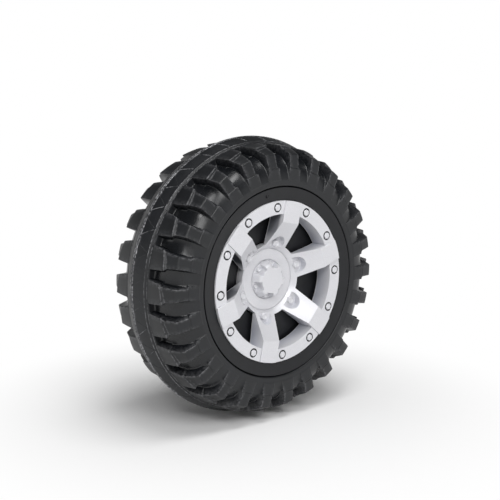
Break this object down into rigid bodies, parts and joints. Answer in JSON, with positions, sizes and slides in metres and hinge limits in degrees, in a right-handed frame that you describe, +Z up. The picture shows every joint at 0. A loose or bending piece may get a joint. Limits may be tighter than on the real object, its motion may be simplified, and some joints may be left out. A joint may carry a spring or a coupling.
{
  "type": "ride-on toy off-road wheel",
  "caption": "Rear wheel of a child's ride-on off-road car with a lugged plastic tyre, silver spoke cover and axle stub.",
  "frame": {"origin": "on the axle's axis, in the middle of its free inboard stub", "axes": "+Y along the axle away from the wheel, +Z up, +X the way the car drives; the outer face looks along -Y"},
  "size_m": [0.3774, 0.1706, 0.3764],
  "materials": {
    "tyre_plastic": "satin",
    "black_plastic": "satin",
    "silver_paint": "satin",
    "zinc_steel": "satin",
    "bush_plastic": "matte"
  },
  "bodies": {
    "axle": {"axle_shaft": "zinc_steel", "inner_washer": "zinc_steel", "outer_washer": "zinc_steel", "lock_nut": "zinc_steel"},
    "wheel": {"tyre": "tyre_plastic", "rim_front": "black_plastic", "rim_back": "black_plastic", "spoke_cover": "silver_paint", "ring_bolts": "silver_paint", "lug_nuts": "silver_paint", "centre_cap": "silver_paint", "cap_studs": "silver_paint", "front_bush": "bush_plastic", "back_bush": "bush_plastic", "drive_socket": "black_plastic"}
  },
  "joints": [
    {"name": "wheel_spin", "type": "hinge", "parent": "axle", "child": "wheel", "pos_m": [0, -0.0856, 0], "axis": [0, 1, 0], "continuous": true}
  ]
}
